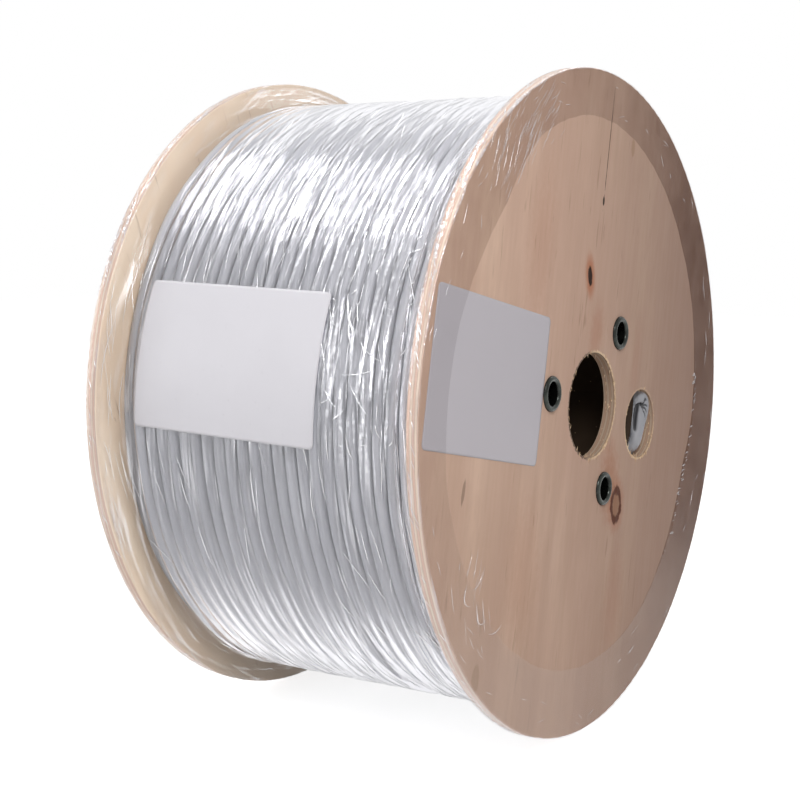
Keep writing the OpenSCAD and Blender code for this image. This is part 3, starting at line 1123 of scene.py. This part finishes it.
creases = {
    "onCoil": 760,                # how many there are, and the same for the next four
    "onRims": 150,
    "onDrape": 30,
    "onFaces": 150,
    "teeth": 40,
    "tip": 0.02,                  # half width of a crease at its ends
    "bend": 186,                  # distance from the axis at which a crease's length is measured
    "faceX": 112.42,              # where they lie on the flanges' outer faces
    "colour": (0.97, 0.97, 0.99, 1),
    "clear": 0.62,                # share of light that a crease throws back
    "edge": 0.3,                  # more of it at a flat angle
    "roughness": 0.17,
}

# creases listed one by one on the coil: from x and angle to x and angle, half width
longCreases = [
    (65.6, 165.9, 78.5, 168.2, 0.34), (53.9, 170.8, 77.1, 169.5, 0.34), (89.5, 167.0, 94.7, 165.4, 0.3),
    (50, 157, 58, 164, 0.9), (54, 159, 57, 166, 0.7), (44, 173, 52, 176, 0.5), (50, 178, 58, 176, 0.5),
    (39, 159, 47, 163, 0.5), (58, 180, 62, 184, 0.5), (60, 172, 72, 177, 0.3),
]

# white scratches on the right lap: y and z from the axis, direction, spread, how many
scratches = [
    (-92, 152, 52, 18, 46), (-118, 138, 60, 16, 32), (-70, 168, 44, 16, 26),
    (-150, -78, 70, 14, 12), (-140, -104, 100, 18, 10), (60, -170, 20, 30, 8),
]

# curled threads low on the right lap: y and z from the axis, direction, bend
curls = [(-152, -82, -60, 150), (-146, -84, 40, 90), (-140, -98, -20, 160), (-128, -112, 10, 60)]


def creaseMaterial():
    material, b, shader = newMaterial("stretchFilmCrease")
    shown = glancing(b, creases["clear"], creases["edge"])
    b.dress(shader, Base_Color=creases["colour"], Metallic=filmLook["metallic"],
            Roughness=creases["roughness"], Alpha=shown)
    return material


def makeRidgeTree():
    # sweeps a small diamond along every path, as thin there as the path says
    tree, b, given = newGroup("filmRidges", [
        ("Geometry", "Geometry"), ("Sides", "Int", 4), ("Thickness", "Float", 1.0), ("Material", "Material"),
    ], ["Geometry"], "GeometryNodeTree")
    ring = b.add("GeometryNodeCurvePrimitiveCircle", {
        "Resolution": given["Sides"], "Radius": given["Thickness"]})
    inputs = {"Curve": given["Geometry"], "Profile Curve": ring.outputs[0], "Fill Caps": True}
    tube = b.add("GeometryNodeCurveToMesh", inputs)
    if "Scale" in tube.inputs:
        b.put(tube.inputs["Scale"], b.add("GeometryNodeInputRadius").outputs[0])
    closeGeometry(b, given, tube.outputs[0])
    return tree


def growCreases(name, paths, material, tree):
    inputs = {"Material": material, "Sides": 4, "Thickness": 1.0}
    return settle(growPiece(name, pathCurves(name + "Paths", paths), tree, inputs, "film"), "stretch_film")


def coilCrease(x, angle, length, lean, width, bend, middle):
    # a crease on the film over the cable: lean is its angle from the way round the drum
    places, widths = [], []
    steps = max(5, int(length / 1.6))
    for i in range(steps + 1):
        s = i / steps - 0.5
        turn = math.radians(lean + bend * s)
        a = angle + math.degrees(s * length * math.cos(turn) / creases["bend"])
        px = min(max(x + s * length * math.sin(turn), -103), 103)
        places.append(onDrum(px * mm, float(middle(px, a)) * mm, a))
        widths.append(width * mm * (1 - (2 * abs(s)) ** 2.5) + creases["tip"] * mm)
    return places, widths


def coilSurface():
    # a function that gives the film's distance from the axis at x and an angle
    edge = 88                   # past it the film hangs free
    free = film["innerX"] - film["span"]
    probeX = np.linspace(-edge, edge, 4 * edge + 1)
    probeA = np.arange(0, 360, 1.0)
    cover = filmOverCable(probeA, probeX) + filmRelief(probeA[None, :], probeX[:, None]) * 0.8

    def surface(x, a):
        i = min(max(int(round((x + edge) * 2)), 0), len(probeX) - 1)
        if abs(x) > edge:
            low, share = cover[i, int(a) % 360], (abs(x) - free) / film["span"]
            return low + (film["rim"] - low) * max(share, 0) ** 2 + 0.25
        return cover[i, int(round(a)) % 360] + 0.02

    return surface


def makeCoilCreases(material, tree):
    draw = np.random.default_rng(77)
    surface = coilSurface()
    paths = []
    while len(paths) < creases["onCoil"]:
        a, x = draw.uniform(0, 360), draw.uniform(-90, 99)
        active = float(filmActivity(np.array(a), np.array(x)))
        if draw.uniform(0, 1.25) ** 1.3 > active:
            continue
        if active > 0.75 and draw.uniform() < 0.45:
            length, lean, bend = draw.uniform(3, 10), draw.uniform(-90, 90), draw.uniform(-60, 60)
        else:
            length, lean, bend = draw.uniform(8, 34), draw.normal(6, 9), draw.uniform(-8, 8)
        paths.append(coilCrease(x, a, length, lean, draw.uniform(0.16, 0.34), bend, surface))
    for x0, a0, x1, a1, width in longCreases:
        around = math.radians(a1 - a0) * creases["bend"]
        length, lean = math.hypot(x1 - x0, around), math.degrees(math.atan2(x1 - x0, around))
        paths.append(coilCrease((x0 + x1) / 2, (a0 + a1) / 2, length, lean, width, 12, surface))
    # long folds in the film that hangs from the left rim
    for _ in range(creases["onDrape"]):
        a, x = draw.uniform(148, 200), draw.uniform(-102.5, -91)
        length, lean = draw.uniform(8, 42), draw.normal(3, 4)
        paths.append(coilCrease(x, a, length, lean, draw.uniform(0.08, 0.2), draw.uniform(-8, 8), surface))
    for i in range(creases["onRims"]):
        side = 1 if i % 2 else -1
        a = draw.uniform(60, 280)
        length = draw.uniform(3, 6.5)
        x = side * draw.uniform(105.5, 111 - length * 0.3)
        shares = np.linspace(-0.5, 0.5, 6)
        places = [
            onDrum((x + s * length * 0.5) * mm, film["rim"] * mm, a + s * length * 0.32) for s in shares]
        paths.append((places, [(0.22 * (1 - (2 * abs(s)) ** 2) + creases["tip"]) * mm for s in shares]))
    return growCreases("filmCreases", paths, material, tree)


def faceArc(y, z, length, turn, bend, width, steps=7, side=1):
    # a crease on a flange's outer face through y, z; turn is its direction from +Y, in degrees
    places, widths = [], []
    at = Vector((side * creases["faceX"], y, z + drum["axisHeight"] / mm))
    for i in range(steps):
        places.append(at * mm)
        s = i / (steps - 1)
        widths.append(width * mm * math.sin(math.pi * (0.08 + 0.84 * s)))
        heading = math.radians(turn + bend * (s - 0.5))
        at = at + Vector((0, math.cos(heading), math.sin(heading))) * (length / (steps - 1))
    return places, widths


def onFace(radius, angle):
    return radius * math.cos(math.radians(angle)), radius * math.sin(math.radians(angle))


def makeLapCreases(material, tree):
    draw = np.random.default_rng(78)
    paths = []
    # small folded teeth along the film's edge on the right
    for angle in draw.uniform(-52, 6, creases["teeth"]):
        y, z = onFace(float(lapRadius(np.array([angle]), 1)[0]) + draw.uniform(0.5, 3.5), angle)
        turn = angle + 205 + draw.uniform(-22, 22)
        length, bend, width = draw.uniform(2.5, 6.5), draw.uniform(-60, 60), draw.uniform(0.1, 0.26)
        paths.append(faceArc(y, z, length, turn, bend, width))
    for y0, z0, turn, spread, count in scratches:
        for _ in range(count):
            y, z = y0 + draw.normal(0, spread * 0.6), z0 + draw.normal(0, spread * 0.6)
            if 163 < math.hypot(y, z) < 197:
                length, width = draw.uniform(3, 20), draw.uniform(0.06, 0.14)
                paths.append(faceArc(y, z, length, turn + draw.normal(0, 5), draw.normal(0, 6), width))
    for y, z, turn, bend in curls:
        paths.append(faceArc(y, z, 15, turn, bend, 0.2, 10))
    for i in range(creases["onFaces"]):
        angle = draw.uniform(0, 360)
        y, z = onFace(draw.uniform(176, 197), angle)
        turn, bend = angle + 90 + draw.normal(0, 14), draw.normal(0, 14)
        side = 1 if i < creases["onFaces"] / 3 else -1
        paths.append(faceArc(y, z, draw.uniform(4, 12), turn, bend, 0.13, side=side))
    return growCreases("filmLapCreases", paths, material, tree)


ridgeTree = makeRidgeTree()
creaseFilm = creaseMaterial()
coilCreases = makeCoilCreases(creaseFilm, ridgeTree)
lapCreases = makeLapCreases(creaseFilm, ridgeTree)
print("creases are in the film:", len(coilCreases.data.polygons), len(lapCreases.data.polygons))


# the cable's kinked end in the lead-out hole

tail = {
    # from the hole's top down: x, y and z from the axis, half width, half thickness, turn in degrees
    "path": [
        (100.8, 78.0, -1.0, 4.4, 2.2, 20), (105.2, 78.6, -1.8, 4.9, 2.5, 32),
        (107.7, 79.6, -4.4, 5.5, 2.9, 42), (107.4, 80.4, -8.6, 6.2, 3.2, 48),
        (107.2, 80.0, -13.6, 6.0, 3.4, 48), (107.2, 78.6, -19.5, 5.1, 3.5, 42),
        (107.3, 77.0, -25.5, 4.3, 3.6, 30), (107.0, 75.2, -31.0, 3.85, 3.7, 12),
        (104.8, 74.2, -34.8, 3.75, 3.75, 0), (101.0, 74.0, -37.2, 3.75, 3.75, 0),
    ],
    "rings": 84,
    "sides": 56,
}


def makeTail(material):
    table = np.array(tail["path"])
    place = np.linspace(0, len(table) - 1, tail["rings"])
    row = np.clip(place.astype(int), 0, len(table) - 2)
    part = place - row

    def spline(c):
        # passes through every value with no corners
        padded = np.concatenate([[2 * c[0] - c[1]], c, [2 * c[-1] - c[-2]]])
        p0, p1, p2, p3 = padded[row], padded[row + 1], padded[row + 2], padded[row + 3]
        return 0.5 * (2 * p1 + (p2 - p0) * part + (2 * p0 - 5 * p1 + 4 * p2 - p3) * part ** 2
                      + (3 * p1 - p0 - 3 * p2 + p3) * part ** 3)

    centre = np.stack([spline(table[:, k]) for k in range(3)], 1)
    half, thick, turn = spline(table[:, 3]), spline(table[:, 4]), np.radians(spline(table[:, 5]))[:, None]
    along = np.gradient(centre, axis=0)
    along /= np.linalg.norm(along, axis=1)[:, None]
    sideways = np.cross(np.array([1.0, 0, 0]), along)
    sideways /= np.linalg.norm(sideways, axis=1)[:, None]
    front = np.cross(along, sideways)
    across = sideways * np.cos(turn) + front * np.sin(turn)
    out = front * np.cos(turn) - sideways * np.sin(turn)
    sides, rings = tail["sides"], tail["rings"]
    around = np.arange(sides) * (2 * math.pi / sides)
    s = np.linspace(0, 1, rings)[:, None]
    w = np.cos(around)[None, :]
    face = smoothStep(-0.1, 0.5, np.sin(around))[None, :]

    # a deep crease from the kink down the inner side, and folds that fan out from its top
    crease = np.exp(-((w + 0.34 + 1.0 * (s - 0.3)) / 0.19) ** 2)
    press = 2.5 * crease * smoothStep(0.24, 0.31, s) * (1 - smoothStep(0.56, 0.72, s))
    for slope, strength in ((-0.035, 0.8), (0.03, 1.0), (0.09, 0.9), (0.16, 0.7)):
        line = 0.29 + slope * (w + 0.1) / 0.6 + 0.012 * np.sin(w * 9)
        reach = smoothStep(-0.2, 0.0, w) * (1 - smoothStep(0.6, 0.95, w))
        press = press + 1.5 * strength * np.exp(-((s - line) / 0.019) ** 2) * reach
    press = press + 0.16 * gridNoise(s * 26 + 4, around[None, :] / (2 * math.pi) * 12, 64, 12, 71)
    ring = centre[:, None, :] + across[:, None, :] * (half[:, None] * w)[..., None]
    lift = (thick[:, None] * np.sin(around)[None, :]) - press * face * smoothStep(0.02, 0.12, s)
    ring = ring + out[:, None, :] * lift[..., None]
    points = ring.reshape(-1, 3) * mm + np.array([0, 0, drum["axisHeight"]])
    faces = gridFaces(rings, sides, closed=True)
    faces += [list(range(sides)), [(rings - 1) * sides + k for k in range(sides)]]
    piece = newPiece("leadOutTail", points, faces, material, "cable_sheath")
    # how far each point is pressed in, which the tail's material turns into painted shade in the creases
    giveValues(piece, "pressed", (press * face).reshape(-1))
    outward(piece)
    settle(piece, "cable_end")


makeTail(sheathMaterial("cableSheathTail", shadedInHole=True))
print("the kinked end is in its hole")


# torn fibres round the two holes

torn = {
    "length": 2.6,
    "width": 0.26,
    "shade": (0.62, 0.42, 0.25, 1),
    # how many, round which hole, between which angles, how far they reach into it
    "rings": [(112, "arbor", -100, 62, 0.8), (37, "arbor", 62, 260, 0.8),
              (62, "leadOut", -110, 10, 1.0), (27, "leadOut", 10, 250, 0.6)],
    "radius": {"arbor": 32.1, "leadOut": 22.1},
}


def makeSliverTree():
    # sets thin pointed slivers on scattered places, each turned and sized at random
    tree, b, given = newGroup("tornFibres", [
        ("Geometry", "Geometry"), ("Length", "Float", 0.003), ("Width", "Float", 0.0003), ("Seed", "Int", 5),
        ("Material", "Material"),
    ], ["Geometry"], "GeometryNodeTree")
    sliver = b.add("GeometryNodeMeshCone", {
        "Vertices": 4, "Side Segments": 2, "Radius Bottom": given["Width"], "Depth": given["Length"]})
    heading = b.add("GeometryNodeInputNamedAttribute", {"Name": "heading"}, data_type="FLOAT_VECTOR")
    facing = b.add("FunctionNodeAlignEulerToVector", {"Vector": heading.outputs[0]}, axis="Z")
    limits = {"Min": (0.6, 0.6, 0.3), "Max": (1.5, 1.2, 1.5), "Seed": given["Seed"]}
    size = b.add("FunctionNodeRandomValue", limits, data_type="FLOAT_VECTOR")
    placed = b.add("GeometryNodeInstanceOnPoints", {
        "Points": given["Geometry"], "Instance": sliver.outputs[0],
        "Rotation": facing.outputs[0], "Scale": size.outputs[0]})
    closeGeometry(b, given, placed.outputs[0])
    return tree


def fibrePlaces():
    draw = np.random.default_rng(91)
    middle = leadOutMiddle() / mm
    centres = {"arbor": (0, 0), "leadOut": (middle.y, middle.z)}
    places, headings = [], []
    for count, hole, low, high, toward in torn["rings"]:
        for _ in range(count):
            a = math.radians(draw.uniform(low, high))
            r = torn["radius"][hole] + draw.uniform(-0.15, 0.5)
            y, z = centres[hole][0] + r * math.cos(a), centres[hole][1] + r * math.sin(a)
            x = draw.choice([111.95, draw.uniform(105.5, 111.9)]) + 0.1
            inward = draw.uniform(-0.25, 0.85) * toward
            grain = draw.choice([-1, 1]) * draw.uniform(0.4, 1.0)
            across, up = 0.19 * grain - math.cos(a) * inward, grain - math.sin(a) * inward
            places.append((x * mm, y * mm, z * mm + drum["axisHeight"]))
            headings.append(Vector((draw.uniform(0.05, 0.2), across, up)).normalized())
    return places, headings


def fibreMaterial():
    material, b, shader = newMaterial("tornWood")
    tint = b.span(b.noise(drumPlace(b), 600.0, 2), 0.35, 0.65)
    b.dress(shader, Base_Color=b.blend(tint, plywood["torn"], torn["shade"]), Roughness=0.75)
    return material


def makeTornFibres(material):
    places, headings = fibrePlaces()
    mesh = bpy.data.meshes.new("fibrePlaces")
    mesh.from_pydata(places, [], [])
    heading = mesh.attributes.new("heading", "FLOAT_VECTOR", "POINT")
    heading.data.foreach_set("vector", [c for head in headings for c in head])
    inputs = {"Length": torn["length"] * mm, "Width": torn["width"] * mm, "Seed": 5, "Material": material}
    settle(growPiece("tornFibres", newObject("fibrePlaces", mesh), makeSliverTree(), inputs, "plywood"))


makeTornFibres(fibreMaterial())
print("torn fibres are round the holes")


# labels

label = {
    "long": 126.0,
    "short": 85.0,
    "corner": 3.0,
    "flangeAt": (129.8, 168.1, -11.5),      # distance from the axis, angle, turn
    "cableAt": (-23.5, 169.3),              # place along the drum, angle
    "cableLean": 2.0,                       # how far it is stuck on askew, in degrees
    "cableRadius": 186.15,                  # distance from the axis of the film's crests
    "cableGap": 0.18,                       # how far its underside lies over them
    "thickness": 0.2,
    "colour": (0.70, 0.685, 0.725, 1),
    # painted shade: a darker copy of the label paper, for the label on the right flange's outer face
    "shadedColour": (0.52, 0.485, 0.52, 1),
    "blotch": (0.6, 0.585, 0.62, 1),
    "speck": (0.5, 0.48, 0.5, 1),
    "filmTint": (0.72, 0.70, 0.71, 1),
}


def labelPoint(i, j, columns, rows):
    # spreads a grid over a sheet with rounded corners
    u, v = i / (columns - 1) * 2 - 1, j / (rows - 1) * 2 - 1
    halfL, halfW, r = label["long"] / 2, label["short"] / 2, label["corner"]
    a, c = u * halfL, v * halfW
    if abs(a) > halfL - r and abs(c) > halfW - r:
        da, dc = abs(a) - (halfL - r), abs(c) - (halfW - r)
        size = math.hypot(da, dc)
        reach = max(da, dc)
        a = math.copysign(halfL - r + da * reach / size, a)
        c = math.copysign(halfW - r + dc * reach / size, c)
    return a, c


def makeLabel(name, place, material, node):
    # a closed sheet: its top, its underside and the edge all round
    columns, rows = 85, 58
    points = [place(*labelPoint(i, j, columns, rows), height)
              for height in (label["thickness"], 0.0) for j in range(rows) for i in range(columns)]
    count = rows * columns
    faces = gridFaces(rows, columns)
    faces += [[count + k for k in reversed(face)] for face in faces]
    border = list(range(columns)) + [j * columns + columns - 1 for j in range(1, rows)]
    border += [(rows - 1) * columns + i for i in range(columns - 2, -1, -1)]
    border += [j * columns for j in range(rows - 2, 0, -1)]
    faces += [[a, count + a, count + c, c] for a, c in zip(border, border[1:] + border[:1])]
    piece = newPiece(name, points, faces, material, "label_paper")
    outward(piece)
    settle(piece, node)


def flangeLabelPlace(a, c, height):
    out, angle, turn = label["flangeAt"]
    y0, z0 = onFace(out, angle)
    spin = math.radians(turn)
    y = y0 + a * math.cos(spin) - c * math.sin(spin)
    z = z0 + a * math.sin(spin) + c * math.cos(spin)
    swell = 0.04 * float(gridNoise(a / 14 + 20, c / 14 + 20, 64, 64, 61)) + 0.04
    x = drum["outerX"] / mm + 0.02 + height * 0.8 + swell * (height > 0)
    return Vector((x * mm, y * mm, drum["axisHeight"] + z * mm))


def cableLabelPlace(a, c, height):
    x0, angle = label["cableAt"]
    crest = label["cableRadius"]
    lean = math.radians(label["cableLean"])
    a, c = a * math.cos(lean) + c * math.sin(lean), c * math.cos(lean) - a * math.sin(lean)
    turn = angle - math.degrees(c / crest)
    x = x0 + a
    ride = 0.04 * math.cos((x - 1.0) / cable["pitch"] * 2 * math.pi)
    ride += 0.08 * float(gridNoise(a / 16 + 20, c / 16 + 20, 64, 64, 62))
    radius = crest + label["cableGap"] + ride + height
    return onDrum(x * mm, radius * mm, turn)


def labelMaterial(name, colour, underFilm=0.0):
    material, b, shader = newMaterial(name)
    place = drumPlace(b)
    marks = specks(b, place, 320.0, 0.2, 25.0)
    tone = b.lay(colour, label["blotch"], marks["Blotches"], 0.12)
    if underFilm:
        contact = b.group(filmContact, {"Place": place, "Sway": 0.6 * mm})["Mask"]
        tone = b.lay(tone, label["filmTint"], contact, underFilm, "MULTIPLY")
    b.dress(shader, Base_Color=b.blend(marks["Specks"], tone, label["speck"]),
            Roughness=b.span(marks["Blotches"], 0, 1, 0.38, 0.5),
            bump=(0.2, 0.03, b.noise(place, 1400.0, 3, 0.6)))
    return material


# painted shade: the flange label's paper is a darker copy of the cable label's, and where the film lies on
# it, it is darker again
shadedPaper = labelMaterial("labelPaperShaded", label["shadedColour"], underFilm=0.6)
makeLabel("flangeLabel", flangeLabelPlace, shadedPaper, "label_flange")
makeLabel("cableLabel", cableLabelPlace, labelMaterial("labelPaper", label["colour"]), "label_cable")
print("labels are on")

scene = bpy.context.scene
scene.view_settings.view_transform = "Standard"
